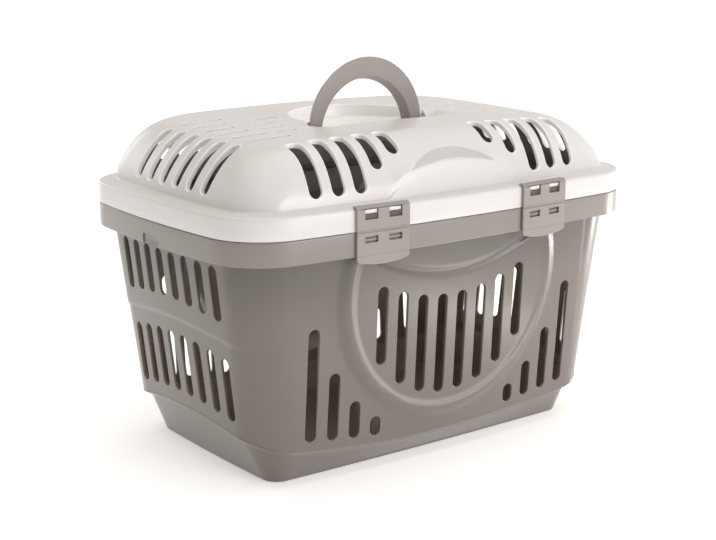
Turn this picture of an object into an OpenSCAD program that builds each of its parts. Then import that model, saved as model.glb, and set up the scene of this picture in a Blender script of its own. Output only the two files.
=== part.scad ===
/* [Rim and lid band] */
// Length of the rim, end to end
rim_l = 480; // [400:1:600]
// Width of the rim, front to back
rim_w = 309.28; // [260:0.1:380]
// Corner radius of the rim
rim_r = 57.2; // [40:0.1:70]
// Bottom edge of the rim skirt, above the floor
rim_z = 212; // [180:0.5:240]
// Top face of the rim
part_z = 234; // [200:0.5:260]
// Gap between the rim's top face and the lid
part_gap = 0.3; // [0.2:0.05:0.6]
// Height of the lid's upright band
band_h = 20; // [14:0.5:26]
// Wall thickness of the tub and the lid
wall = 2.5; // [2:0.1:4]

/* [Tub] */
// Half length of the tub wall just under the rim
wall_a = 227.4; // [215:0.1:232]
// Half width of the tub wall just under the rim
wall_b = 139.3; // [130:0.1:145]
// Half length of the base at the floor
base_a = 182.5; // [170:0.1:200]
// Half width of the base at the floor
base_b = 104.3; // [95:0.1:115]
// Width of the wall slots
slot_w = 11.2; // [8:0.1:13]
// Spacing of the front wall slots
slot_p = 23.4; // [20:0.1:26]
// First of the rear wall slots beside the disc, from the middle, and their spacing
rear_x = 89.3; // [80:0.1:95]
rear_p = 21.6; // [18:0.1:24]
// Spacing of the end wall slots
end_p = 22.2; // [20:0.1:26]
// Radius of the raised disc on the front and rear walls, at its outer foot
disc_r = 131; // [120:0.5:134]
// Width of the disc's rounded edge
disc_edge = 16; // [8:0.5:20]
// Height of the disc's centre
disc_z = 168; // [150:0.5:185]

/* [Lid] */
// Width of the dome slots
dome_slot_w = 13.2; // [8:0.1:14]
// Spacing of the dome slots
dome_p = 23.2; // [20:0.1:28]
// Width of the thin vents in the top
vent_w = 5.4; // [3:0.1:6]

/* [Handle] */
// Outer radius of the arch
arch_r = 68; // [60:0.5:75]
// Half width of the opening at the feet
arch_in = 55; // [45:0.5:60]
// Top of the arch above the floor
arch_top = 368; // [350:0.5:380]
// Thickness of the arch at its top
arch_t = 20; // [14:0.5:24]
// Depth of the arch, front to back
arch_d = 13; // [10:0.5:18]
// Pivot height above the floor
pivot_z = 305; // [300:0.5:310]
// Pivot position, front to back
pivot_y = 3; // [0:0.5:8]
// Radius of the pivot pins
pin_r = 3; // [2:0.1:4]

/* [Clips] */
// Distance of each clip from the middle
clip_x = 96; // [80:0.5:110]
// Width of a clip
clip_w = 56; // [50:0.5:64]
// Thickness of a clip leaf
clip_t = 2.4; // [2:0.1:3]
// Bottom of the pull tab
tab_z = 204; // [200:0.5:208]
// Gap between the rim and a front clip's inner face
clip_gap = 0.6; // [0.4:0.1:1]
// Radius of the bead on the film hinge line
bead_r = 1.5; // [1.2:0.1:2]

/* [Hidden] */
A = rim_l / 2;
B = rim_w / 2;
bow_r = 2514;
GREY = [0.56, 0.52, 0.49];
WHITE = [0.94, 0.93, 0.92];
LIGHT = [0.68, 0.64, 0.61];
lid_z = part_z + part_gap;
band_z = lid_z + band_h;

// Outline: a rectangle with bowed sides and round corners, as arcs.
n1 = 3;
n2 = 6;
n3 = 4;
function corner(a, b, r, rf, rs) =
    let(R1 = rf - r, R2 = rs - r, y1 = b - rf, x2 = a - rs,
        d = norm([x2, -y1]), t = (R1 * R1 - R2 * R2 + d * d) / (2 * d),
        h = sqrt(max(R1 * R1 - t * t, 0)), ux = x2 / d, uy = -y1 / d,
        px = t * ux, py = y1 + t * uy,
        c1 = [px - h * uy, py + h * ux], c2 = [px + h * uy, py - h * ux])
    (c1[0] > 0 && c1[1] > 0) ? c1 : c2;
function quarter(a, b, r, rf, rs) =
    let(c = corner(a, b, r, rf, rs), tf = atan2(c[0], c[1] - (b - rf)), ts = atan2(c[1], c[0] - (a - rs)))
    concat(
        [for (i = [0:n1 - 1]) let(t = ts * i / n1) [a - rs + rs * cos(t), rs * sin(t)]],
        [for (i = [0:n2 - 1]) let(t = ts + (90 - tf - ts) * i / n2) [c[0] + r * cos(t), c[1] + r * sin(t)]],
        [for (i = [0:n3 - 1]) let(t = tf * (1 - i / n3)) [rf * sin(t), b - rf + rf * cos(t)]]);
// One closed outline; bb and rr are the rear half width and rear corner radius.
function outline(a, b, r, bb, rr, rf = bow_r, rs = 1099) =
    let(q = quarter(a, bb, rr, rf, rs), p = quarter(a, b, r, rf, rs), n = len(q))
    concat(q, [[0, bb]], [for (i = [n - 1:-1:1]) [-q[i][0], q[i][1]]],
        [for (i = [0:n - 1]) [-p[i][0], -p[i][1]]], [[0, -b]], [for (i = [n - 1:-1:1]) [p[i][0], -p[i][1]]]);
function same(a, b, r) = outline(a, b, r, b, r);
function flat(o, z) = [for (p = o) [p[0], p[1], z]];
function ramp(v) = let(c = min(1, max(0, v))) c * c * (3 - 2 * c);
// Height of the step above the base skirt: it dips at the front and rises at the ends.
function step_z(p) =
    let(w = ramp((abs(p[0]) - 170) / 34)) (1 - w) * (22.6 + 0.00035 * p[0] * p[0]) + w * (53 - 0.001 * p[1] * p[1]);
function on_step(o, m, dz) = [for (i = [0:len(o) - 1]) [o[i][0], o[i][1], step_z(m[i]) + dz]];

// A closed solid through a list of rings, first and last ring capped.
module loft(rings) {
    n = len(rings[0]);
    m = len(rings);
    polyhedron(
        points = [for (r = rings) each r],
        faces = concat(
            [[for (i = [0:n - 1]) i]],
            [for (k = [0:m - 2], i = [0:n - 1]) let(j = (i + 1) % n) [k * n + i, (k + 1) * n + i, (k + 1) * n + j]],
            [for (k = [0:m - 2], i = [0:n - 1]) let(j = (i + 1) % n) [k * n + i, (k + 1) * n + j, k * n + j]],
            [[for (i = [n - 1:-1:0]) (m - 1) * n + i]]),
        convexity = 12);
}

// Upright slot seen from the front or rear, cut through the wall at y from y0 to y1.
module slot_y(x, z0, z1, w, y0, y1) {
    hull() for (z = [z0 + w / 2, z1 - w / 2])
        translate([x, y1, z]) rotate([90, 0, 0]) cylinder(r = w / 2, h = y1 - y0, $fn = 14);
}
// Upright slot seen from an end, cut at x from x0 to x1.
module slot_x(y, z0, z1, w, x0, x1) {
    hull() for (z = [z0 + w / 2, z1 - w / 2])
        translate([x0, y, z]) rotate([0, 90, 0]) cylinder(r = w / 2, h = x1 - x0, $fn = 14);
}

// Slot heights on the front and rear walls, from the middle outwards.
DISC_SLOTS = [[63.8, 159.7], [68.9, 162.4], [81.4, 168.6], [103.9, 177]];
WALL_SLOTS = [[33.8, 52.1], [36, 71.2], [38.5, 102.2], [41.3, 147]];
// Slot heights on the end walls.
END_UP = [[161, 205.4], [159.3, 206], [157.4, 205.4], [154.6, 205]];
END_LOW = [[67, 126], [65.8, 125], [63.4, 122.6], [60.2, 119]];

wall_out = same(208, 126, 44);
module tub_shell() {
    in_out = same(200, 118.5, 38);
    wo = wall_out;
    loft([
        flat(outline(base_a - 3, base_b - 3, 16, base_b - 3, 16, 6000, 2100), 0),
        flat(outline(base_a, base_b, 18, base_b, 18, 6000, 2100), 3),
        on_step(in_out, wo, -5),
        on_step(same(207, 125.2, 43.5), wo, -0.6),
        on_step(wo, wo, 1.5),
        flat(same(217, 132.7, 44.4), 128),
        flat(same(219.9, 133.9, 44.6), 141),
        flat(same(wall_a, wall_b, 45), rim_z - 3),
        flat(same(wall_a + 1.5, wall_b + 1.5, 46.2), part_z - wall),
        flat(same(A - wall, B - wall, rim_r - wall), part_z - wall),
        flat(same(A - wall, B - wall, rim_r - wall), rim_z),
        flat(same(A, B, rim_r), rim_z),
        flat(same(A, B, rim_r), part_z - 0.8),
        flat(same(A - 0.8, B - 0.8, rim_r - 0.8), part_z),
        flat(same(A - 3.6, B - 3.6, rim_r - 3.6), part_z),
        flat(same(A - 4.2, B - 4.2, rim_r - 4.2), part_z + 3.6),
        flat(same(A - 5.8, B - 5.8, rim_r - 5.8), part_z + 3.6),
        flat(same(A - 6.2, B - 6.2, rim_r - 6.2), part_z),
        flat(same(wall_a - 1, wall_b - 1, 43.5), part_z),
        flat(same(wall_a - 2.6, wall_b - 2.6, 42.5), rim_z - 3),
        flat(same(217.4, 131.4, 42.1), 141),
        flat(same(214.5, 130.2, 41.9), 128),
        on_step(same(205.5, 123.5, 41.5), wo, 1.5),
        on_step(same(204.6, 122.8, 41), wo, 0.4),
        on_step(same(197.6, 116, 35.6), wo, -3.8),
        flat(outline(base_a - 2.5, base_b - 2.5, 16, base_b - 2.5, 16, 6000, 2100), 4.5),
        flat(outline(base_a - 5.5, base_b - 5.5, 14, base_b - 5.5, 14, 6000, 2100), wall)]);
}
// Raised disc on the front wall: a leaning plate with a sloped edge, kept outside the inner face.
module disc_plate() {
    lean = atan(0.055);
    intersection() {
        translate([0, -131.6 + 0.6, 68]) rotate([lean, 0, 0])
            translate([0, 0, disc_z - 68]) rotate([90, 0, 0]) {
                translate([0, 0, -7.4]) cylinder(r1 = disc_r + 4, r2 = disc_r - disc_edge * 0.6, h = 7, $fn = 72);
                translate([0, 0, -0.5]) cylinder(r1 = disc_r - disc_edge * 0.6, r2 = disc_r - disc_edge, h = 1.1, $fn = 72);
            }
        translate([-150, -160, 30]) cube([300, 60, rim_z - 3.2 - 30]);
    }
}
module inner_room() {
    loft([
        on_step(same(205.5, 123.5, 41.5), wall_out, 1.5),
        flat(same(214.5, 130.2, 41.9), 128),
        flat(same(217.4, 131.4, 42.1), 141),
        flat(same(wall_a - 2.6, wall_b - 2.6, 42.5), rim_z - 3)]);
}
// Catch that stands in a clip's lower window, its flat side down, rooted deep in the rim skirt.
module catch_wedge(dx, deep) {
    translate([dx, fy, 225]) rotate([90, 0, 90])
        linear_extrude(height = 12.6, center = true) polygon([[deep, 0], [-1.55, 0.3], [-1.55, 1.8], [0.25, 3.6], [deep, 3.6]]);
}
module tub() color(GREY) {
    difference() {
        union() {
            tub_shell();
            difference() {
                union() {
                    disc_plate();
                    rotate(180) disc_plate();
                }
                inner_room();
            }
            for (cx = [-clip_x, clip_x], dx = [-win_x, win_x]) {
                place(cx, false) catch_wedge(dx, 2.4);
                place(cx, true) catch_wedge(dx, 3.05);
            }
        }
        for (s = [-1, 1], k = [0:3]) {
            slot_y(s * slot_p * (k + 0.5), DISC_SLOTS[k][0], DISC_SLOTS[k][1], slot_w, -160, -90);
            slot_y(s * slot_p * (k + 0.5), DISC_SLOTS[k][0], DISC_SLOTS[k][1], slot_w, 90, 160);
            slot_y(s * slot_p * (k + 3.5), WALL_SLOTS[k][0], WALL_SLOTS[k][1], slot_w, -160, -90);
            slot_y(s * (rear_x + rear_p * k), WALL_SLOTS[k][0], WALL_SLOTS[k][1], slot_w, 90, 160);
            for (t = [-1, 1]) {
                slot_x(t * end_p * (k + 0.5), END_UP[k][0], END_UP[k][1], slot_w, s * 215 - 20, s * 215 + 20);
                slot_x(t * end_p * (k + 0.5), END_LOW[k][0], END_LOW[k][1], slot_w, s * 215 - 25, s * 215 + 25);
            }
        }
        // Finger notch in the skirt at each end
        for (s = [-1, 1]) translate([s * A, 0, rim_z]) cube([12, 28, 18.6], center = true);
    }
}

// Dome rows: half length, front half width, height over the end, height over the middle.
DOME = [
    [223.3, 137.6, 256, 256], [220.6, 136.1, 265, 265], [212.6, 130.8, 279, 279], [205.2, 125.6, 288.6, 288.6],
    [197, 119.2, 296.6, 296.8], [188.4, 112, 302.4, 303.3], [181, 106, 305.3, 307], [172, 99.5, 306.9, 309.4],
    [158, 89, 307.9, 310.5], [110, 52, 309.5, 311.2]];
function dome_ring(k, t) =
    let(d = DOME[k], w = min(1, max(0, (d[3] - 257) / 55)),
        o = outline(d[0] - t, d[1] - t, 40 + 11.5 * w - t, d[1] + 24 * w - t, 40 + 17 * w - t))
    [for (p = o) [p[0], p[1],
        d[3] + (d[2] - d[3]) * pow(p[0] / (d[0] - t), 2) + w * (0.2 + 0.015 * p[1]) - t * ramp((k - 2) / 4)]];

module lid_shell() {
    n = len(DOME);
    loft(concat(
        [for (k = [n - 1:-1:1]) dome_ring(k, wall)],
        [flat(same(223.3 - wall, 137.6 - wall, 40 - wall), 256 - wall),
            flat(same(A - wall, B - wall, rim_r - wall), band_z - 1),
            flat(same(A - wall, B - wall, rim_r - wall), lid_z),
            flat(same(A, B, rim_r), lid_z),
            flat(same(A, B, rim_r), band_z - 1.6),
            flat(same(A - 1.6, B - 1.6, rim_r - 1.6), band_z)],
        [for (k = [0:n - 1]) dome_ring(k, 0)]));
}
// Raised disc carried up onto the lid's front, with the crescent above it.
module lid_disc() {
    intersection() {
        translate([0, -137.9, 257]) rotate([-atan(0.13), 0, 0]) translate([0, 0, disc_z - 257]) rotate([90, 0, 0])
            translate([0, 0, -12]) cylinder(r1 = 128, r2 = 115.5, h = 12, $fn = 72);
        translate([-100, -160, 255.5]) cube([200, 60, 60]);
    }
}
module lid_room() {
    loft([for (k = [0:len(DOME) - 1]) dome_ring(k, wall - 0.1)]);
}
// Handle well: the arch folds back into it, and a scoop leads down to the feet from the front.
module well(g) {
    zf = 299.5 - g;
    translate([0, 0, zf]) intersection() {
        translate([0, pivot_y, 0]) cylinder(r = arch_r + 4 + g, h = 40, $fn = 48);
        translate([-100, pivot_y - 11 - g, 0]) cube([200, 120, 40]);
    }
    intersection() {
        translate([-120, 0, -g]) rotate([90, 0, 90]) linear_extrude(height = 240)
            polygon([[-48, 311], [pivot_y - 11, 302.3], [pivot_y - 10, 302.3], [pivot_y - 10, 340], [-48, 340]]);
        translate([0, 20, -g]) rotate([90, 0, 0]) linear_extrude(height = 100)
            polygon([[-arch_r - 6, 301], [arch_r + 6, 301], [arch_r + 26, 312], [arch_r + 26, 340], [-arch_r - 26, 340], [-arch_r - 26, 312]]);
    }
}
// Bar that stands in a clip's upper window, under the hook's top.
module lid_bar(dx, deep) {
    translate([dx - 6.3, fy - 1.25, 250.4]) cube([12.6, 1.25 + deep, 3.5]);
}
module lid() color(WHITE) {
    difference() {
        union() {
            lid_shell();
            difference() {
                lid_disc();
                lid_room();
            }
            union() {
                union() {
                    intersection() {
                        union() {
                            well(wall);
                            for (s = [-1, 1]) translate([s * 76 - 6, pivot_y - 7, 297]) cube([12, 14, 20]);
                        }
                        lid_room();
                    }
                }
            }
            for (cx = [-clip_x, clip_x], dx = [-win_x, win_x]) {
                place(cx, false) lid_bar(dx, 2.4);
                place(cx, true) lid_bar(dx, 3.05);
            }
        }
        difference() {
            well(0);
            // Small ears that carry the pin bores in to the handle's feet
            for (s = [-1, 1]) translate([s * 71.3, pivot_y, pivot_z]) rotate([0, 90, 0]) cylinder(r = 5.2, h = 5.4, center = true, $fn = 32);
        }
        for (s = [-1, 1]) translate([s * 64, pivot_y, pivot_z]) rotate([0, 90, 0]) cylinder(r = pin_r + 0.3, h = 25, center = true, $fn = 32);
        // Dome slots, three long and two short on each side of the middle
        for (s = [-1, 1], r = [-1, 1], k = [0:4]) {
            z0 = [293, 282, 263.5, 263.5, 263.5][k];
            y0 = r < 0 ? 91 : 119;
            hull() {
                translate([s * dome_p * (k + 2.45), r * 160, z0 + dome_slot_w / 2]) rotate([90 * r, 0, 0])
                    cylinder(r = dome_slot_w / 2, h = 52 - (y0 - 101), $fn = 14);
                translate([s * dome_p * (k + 2.45), r * (y0 + dome_slot_w / 2), 325]) cylinder(r = dome_slot_w / 2, h = 1, $fn = 14);
                translate([s * dome_p * (k + 2.45), r * 160, 325]) cylinder(r = dome_slot_w / 2, h = 1, $fn = 14);
            }
        }
        for (s = [-1, 1], k = [-2.5:1:2.5]) hull() {
            translate([s * 240, k * 23.2, 264.2 + 5.6]) rotate([0, -90 * s, 0]) cylinder(r = 5.6, h = 55, $fn = 14);
            translate([s * 186.5, k * 23.2, 325]) cylinder(r = 5.6, h = 1, $fn = 14);
            translate([s * 240, k * 23.2, 325]) cylinder(r = 5.6, h = 1, $fn = 14);
        }
        // Thin vents in the top
        for (s = [-1, 1], k = [-2.5:1:2.5]) hull() for (x = [144.2 - 2.4 * k * k, 172])
            translate([s * x, k * slot_p, 290]) cylinder(r = vent_w / 2, h = 40, $fn = 12);
        for (s = [-1, 1], v = [[1.5, 78, 106], [0.5, 96, 121], [-0.5, 103, 128], [-1.5, 103, 128]])
            hull() for (x = [v[1] + vent_w / 2, v[2] - vent_w / 2])
                translate([s * x, v[0] * slot_p, 290]) cylinder(r = vent_w / 2, h = 40, $fn = 12);
    }
}

// Arch in the plane of X and Z: round outside, tighter inside, the outer side drawn in towards the back.
module arch_slice(ro, grow, y0, h) {
    translate([0, y0 + h, 0]) rotate([90, 0, 0]) linear_extrude(height = h) difference() {
        union() {
            translate([0, arch_top - arch_r]) circle(r = ro, $fn = 96);
            translate([-ro, pivot_z - 1]) square([2 * ro, 1]);
        }
        translate([0, arch_top - arch_t - arch_in - 0.5]) scale([1, 1.01]) circle(r = arch_in - grow, $fn = 96);
        translate([-100, pivot_z - 100]) square([200, 100]);
        translate([-arch_in + grow, pivot_z - 20]) square([2 * (arch_in - grow), 21]);
    }
}
module handle() color(LIGHT) {
    yf = pivot_y - 8;
    arch_slice(arch_r, 0, yf, arch_d * 0.2);
    arch_slice(arch_r - 3, 2.5, yf + arch_d * 0.2, arch_d * 0.4);
    arch_slice(arch_r - 7, 3.5, yf + arch_d * 0.6, arch_d * 0.4);
    for (s = [-1, 1]) translate([s * (arch_in + 5.5), pivot_y, pivot_z]) rotate([0, 90, 0]) {
        cylinder(r = 5, h = 9, center = true);
        translate([0, 0, s * 6]) cylinder(r = pin_r, h = 16, center = true);
    }
}

// Clip, front left, outside towards -Y. The upper leaf grips the lid, the lower leaf the tub.
fy = -B + 0.35;
hz = part_z + part_gap / 2;
hook_z = band_z + 0.65;
win_x = 12.8;
module window(dx, z, h) {
    translate([dx, fy, z]) cube([13.9, 12, h], center = true);
}
module hook_leaf() {
    difference() {
        union() {
            translate([-clip_w / 2, fy - clip_t, hz + 1.9]) cube([clip_w, clip_t, hook_z - hz - 1.9]);
            translate([-clip_w / 2, fy - clip_t, hook_z]) cube([clip_w, 7, 1.55]);
        }
        for (dx = [-win_x, win_x]) window(dx, 249.4, 9.6);
    }
}
module flap_leaf() {
    difference() {
        union() {
            rotate([90, 0, 0]) translate([0, 0, -fy]) linear_extrude(height = clip_t) intersection() {
                translate([0, tab_z + 110]) circle(r = 110, $fn = 180);
                translate([-clip_w / 2, tab_z]) square([clip_w, hz - 1.9 - tab_z]);
            }
        }
        for (dx = [-win_x, win_x]) window(dx, 227.1, 5.8);
        translate([0, fy - clip_t, 213.1]) rotate([0, 90, 0]) cylinder(r = 0.6, h = clip_w + 2, center = true);
    }
    translate([0, fy - clip_t / 2, hz]) rotate([0, 90, 0]) cylinder(r = bead_r, h = clip_w - 6, center = true);
    translate([-clip_w / 2 + 3, fy - clip_t / 2 - 0.5, hz - 2.4]) cube([clip_w - 6, 1, 2]);
}
// The front clips lie along the rim's bow. The rear ones stay square, so that their film lines share one axis.
module place(x, back) {
    if (back) rotate(180) translate([-x, 0, 0]) children();
    else translate([x, x * x / (2 * bow_r) - B - clip_gap, 0]) rotate(asin(x / bow_r)) translate([0, -fy, 0]) children();
}
module clip_front_left_hook() color(LIGHT) place(-clip_x, false) hook_leaf();
module clip_front_left_flap() color(LIGHT) place(-clip_x, false) flap_leaf();
module clip_front_right_hook() color(LIGHT) place(clip_x, false) hook_leaf();
module clip_front_right_flap() color(LIGHT) place(clip_x, false) flap_leaf();
module clip_rear_left_hook() color(LIGHT) place(-clip_x, true) hook_leaf();
module clip_rear_left_flap() color(LIGHT) place(-clip_x, true) flap_leaf();
module clip_rear_right_hook() color(LIGHT) place(clip_x, true) hook_leaf();
module clip_rear_right_flap() color(LIGHT) place(clip_x, true) flap_leaf();

tub();
lid();
handle();
clip_front_left_hook();
clip_front_left_flap();
clip_front_right_hook();
clip_front_right_flap();
clip_rear_left_hook();
clip_rear_left_flap();
clip_rear_right_hook();
clip_rear_right_flap();
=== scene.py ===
import math
import bmesh
import bpy
import numpy as np
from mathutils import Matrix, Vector
from mathutils.bvhtree import BVHTree


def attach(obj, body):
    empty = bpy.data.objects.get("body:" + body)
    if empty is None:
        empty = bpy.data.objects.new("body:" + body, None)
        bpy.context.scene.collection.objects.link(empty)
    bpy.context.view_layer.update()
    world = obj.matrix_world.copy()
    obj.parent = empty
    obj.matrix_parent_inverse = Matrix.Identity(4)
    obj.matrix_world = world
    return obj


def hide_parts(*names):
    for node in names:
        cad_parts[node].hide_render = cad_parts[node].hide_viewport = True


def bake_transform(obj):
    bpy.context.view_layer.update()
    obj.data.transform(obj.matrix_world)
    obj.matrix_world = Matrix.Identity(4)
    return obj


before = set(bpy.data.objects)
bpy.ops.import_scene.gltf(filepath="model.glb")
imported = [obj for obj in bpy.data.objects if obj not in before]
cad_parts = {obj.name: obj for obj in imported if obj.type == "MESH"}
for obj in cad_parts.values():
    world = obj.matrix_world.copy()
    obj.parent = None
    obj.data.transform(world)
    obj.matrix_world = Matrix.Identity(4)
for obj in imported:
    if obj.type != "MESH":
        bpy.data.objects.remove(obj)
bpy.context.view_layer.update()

S = 0.001                      # the numbers below are in millimetres
A, B, RIM_R = 240.0, 154.64, 57.2
LID_Z, BAND_Z, RIM_Z, PART_Z = 234.3, 254.3, 212.0, 234.0
WALL = 2.5
CLIP_X, FY, HZ, WIN_X = 96.0, -154.29, 234.15, 12.8


def smooth(v):
    c = np.clip(v, 0, 1)
    return c * c * (3 - 2 * c)


# ---------------------------------------------------------------- outlines
def quarter(a, b, r, rf, rs, n1, n2, n3):
    R1, R2 = rf - r, rs - r
    y1, x2 = b - rf, a - rs
    d = math.hypot(x2, y1)
    t = (R1 * R1 - R2 * R2 + d * d) / (2 * d)
    h = math.sqrt(max(R1 * R1 - t * t, 0))
    ux, uy = x2 / d, -y1 / d
    px, py = t * ux, y1 + t * uy
    c1, c2 = (px - h * uy, py + h * ux), (px + h * uy, py - h * ux)
    c = c1 if c1[0] > 0 and c1[1] > 0 else c2
    tf = math.atan2(c[0], c[1] - (b - rf))
    ts = math.atan2(c[1], c[0] - (a - rs))
    out = [(a - rs + rs * math.cos(ts * i / n1), rs * math.sin(ts * i / n1)) for i in range(n1)]
    for i in range(n2):
        k = ts + (math.pi / 2 - tf - ts) * i / n2
        out.append((c[0] + r * math.cos(k), c[1] + r * math.sin(k)))
    out += [(rf * math.sin(tf * (1 - i / n3)), b - rf + rf * math.cos(tf * (1 - i / n3))) for i in range(n3)]
    return out


def outline(a, b, r, bb=None, rr=None, rf=2514.0, rs=1099.0, n=(48, 30, 104)):
    bb = b if bb is None else bb
    rr = r if rr is None else rr
    q = quarter(a, bb, rr, rf, rs, *n)
    p = quarter(a, b, r, rf, rs, *n)
    m = len(q)
    pts = q + [(0, bb)] + [(-q[i][0], q[i][1]) for i in range(m - 1, 0, -1)]
    pts += [(-x, -y) for x, y in p] + [(0, -b)] + [(p[i][0], -p[i][1]) for i in range(m - 1, 0, -1)]
    return np.array(pts)


def at(o, z):
    z = np.broadcast_to(np.asarray(z, float), (len(o),))
    return np.column_stack([o, z])


def between(r0, r1, n, end=False):
    k = np.arange(0, n + (1 if end else 0)) / n
    return [r0 * (1 - t) + r1 * t for t in k]


def spline(xs, ys, x):
    """Natural cubic spline through a few control values."""
    xs, ys = np.asarray(xs, float), np.asarray(ys, float)
    n = len(xs)
    h = np.diff(xs)
    m = np.zeros((n, n))
    v = np.zeros(n)
    m[0, 0] = m[-1, -1] = 1
    for i in range(1, n - 1):
        m[i, i - 1], m[i, i], m[i, i + 1] = h[i - 1], 2 * (h[i - 1] + h[i]), h[i]
        v[i] = 6 * ((ys[i + 1] - ys[i]) / h[i] - (ys[i] - ys[i - 1]) / h[i - 1])
    k = np.linalg.solve(m, v)
    j = np.clip(np.searchsorted(xs, x) - 1, 0, n - 2)
    u, w, hh = xs[j + 1] - x, x - xs[j], h[j]
    return (k[j] * u ** 3 + k[j + 1] * w ** 3) / (6 * hh) + (ys[j] / hh - k[j] * hh / 6) * u + (ys[j + 1] / hh - k[j + 1] * hh / 6) * w


# ---------------------------------------------------------------- meshes
def mesh_obj(name, verts, faces, mats=()):
    me = bpy.data.meshes.new(name)
    me.from_pydata([tuple(v) for v in np.asarray(verts, float) * S], [], faces)
    me.update()
    for m in mats:
        me.materials.append(m)
    ob = bpy.data.objects.new(name, me)
    bpy.context.scene.collection.objects.link(ob)
    me.polygons.foreach_set("use_smooth", [True] * len(me.polygons))
    return ob


def loft_obj(name, rings, mats=()):
    """A closed solid through rings of equal length; both ends are capped."""
    n, m = len(rings[0]), len(rings)
    v = np.concatenate(rings)
    f = []
    for k in range(m - 1):
        for i in range(n):
            j = (i + 1) % n
            f.append((k * n + i, k * n + j, (k + 1) * n + j, (k + 1) * n + i))
    f.append(tuple(range(n - 1, -1, -1)))
    f.append(tuple((m - 1) * n + i for i in range(n)))
    ob = mesh_obj(name, v, f, mats)
    bm = bmesh.new()
    bm.from_mesh(ob.data)
    bmesh.ops.recalc_face_normals(bm, faces=bm.faces)
    bm.to_mesh(ob.data)
    bm.free()
    return ob


def join(objs, name):
    base = objs[0]
    if len(objs) > 1:
        with bpy.context.temp_override(active_object=base, selected_editable_objects=objs, selected_objects=objs):
            bpy.ops.object.join()
    base.name = name
    return base


def apply_mods(ob):
    dg = bpy.context.evaluated_depsgraph_get()
    me = bpy.data.meshes.new_from_object(ob.evaluated_get(dg))
    old = ob.data
    ob.modifiers.clear()
    ob.data = me
    bpy.data.meshes.remove(old)


def boolean(ob, other, op):
    m = ob.modifiers.new("b", "BOOLEAN")
    m.operation, m.object, m.solver = op, other, "MANIFOLD"
    m.material_mode = "INDEX"
    apply_mods(ob)
    bpy.data.objects.remove(other)


class Skin:
    """The uncut surface: where slots are laid on it, and whose normals the cut mesh keeps."""

    def __init__(self, ob):
        me = ob.data
        me.calc_loop_triangles()
        self.co = np.empty(len(me.vertices) * 3)
        me.vertices.foreach_get("co", self.co)
        self.co = self.co.reshape(-1, 3)
        self.no = np.array([v.normal[:] for v in me.vertices])
        self.tri = np.empty(len(me.loop_triangles) * 3, np.int32)
        me.loop_triangles.foreach_get("vertices", self.tri)
        self.tri = self.tri.reshape(-1, 3)
        self.tree = BVHTree.FromPolygons(self.co.tolist(), self.tri.tolist())

    def smooth_normal(self, p, t):
        a, b, c = self.co[self.tri[t]]
        v0, v1, v2 = b - a, c - a, np.array(p) - a
        d00, d01, d11, d20, d21 = v0 @ v0, v0 @ v1, v1 @ v1, v2 @ v0, v2 @ v1
        den = d00 * d11 - d01 * d01
        if abs(den) < 1e-24:
            return self.no[self.tri[t][0]]
        v = (d11 * d20 - d01 * d21) / den
        w = (d00 * d21 - d01 * d20) / den
        n = (1 - v - w) * self.no[self.tri[t][0]] + v * self.no[self.tri[t][1]] + w * self.no[self.tri[t][2]]
        return n / max(np.linalg.norm(n), 1e-9)

    def ray(self, o, d):
        hit, _, t, _ = self.tree.ray_cast(Vector(o) * S, Vector(d))
        if hit is None:
            raise RuntimeError(f"a slot misses the wall at {tuple(o)}")
        return np.array(hit) / S, self.smooth_normal(hit, t)


def keep_normals(ob, skin, edge=None):
    """Wall faces keep the uncut surface's normals; cut faces (material 1 and up) keep their own, and take the edge
    material, which is painted lighter to stand for light on the cut walls.
    """
    me = ob.data
    me.set_sharp_from_angle(angle=math.radians(26))
    face_mat = {}
    for p in me.polygons:
        for e in p.edge_keys:
            face_mat.setdefault(e, set()).add(p.material_index)
    for e in me.edges:
        if len(face_mat.get(e.key, ())) > 1:
            e.use_edge_sharp = True
    corner = np.array([c.vector[:] for c in me.corner_normals])
    own = {}
    for p in me.polygons:
        for li in p.loop_indices:
            vi = me.loops[li].vertex_index
            if p.material_index == 0:
                if vi not in own:
                    co = me.vertices[vi].co
                    loc, _, t, dist = skin.tree.find_nearest(co)
                    own[vi] = skin.smooth_normal(loc, t) if dist < 4e-5 else None
                n = own[vi]
                if n is not None and n @ np.array(p.normal) > 0.8:
                    corner[li] = n
    while len(me.materials) > 2:
        me.materials.pop(index=len(me.materials) - 1)
    for p in me.polygons:
        if p.material_index:
            p.material_index = 1 if edge else 0
    if edge:
        me.materials[1] = edge
    else:
        me.materials.pop(index=1)
    me.normals_split_custom_set(corner.tolist())


def stadium(length, hw, o=0.0, ends=6, pitch=5.0):
    """(across, along) round a slot of that length and half width, grown by o: tip, right side, tip, left side."""
    a = np.linspace(0, math.pi / 2, ends + 1)
    low = [((hw + o) * math.sin(t), hw - (hw + o) * math.cos(t)) for t in a]
    n = max(1, int((length - 2 * hw) / pitch))
    mid = [(hw + o, hw + (length - 2 * hw) * i / n) for i in range(1, n)]
    high = [((hw + o) * math.cos(t), length - hw + (hw + o) * math.sin(t)) for t in a]
    if length - 2 * hw < 1e-6:
        high = high[1:]
    right = low + mid + high
    return right + [(-x, y) for x, y in right[-2:0:-1]]


LIP = [(1.25, -3.0), (1.2, -0.3), (0.62, 0.0), (0.35, 0.18), (0.14, 0.42), (0.03, 0.72), (0.0, 1.1)]


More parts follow.
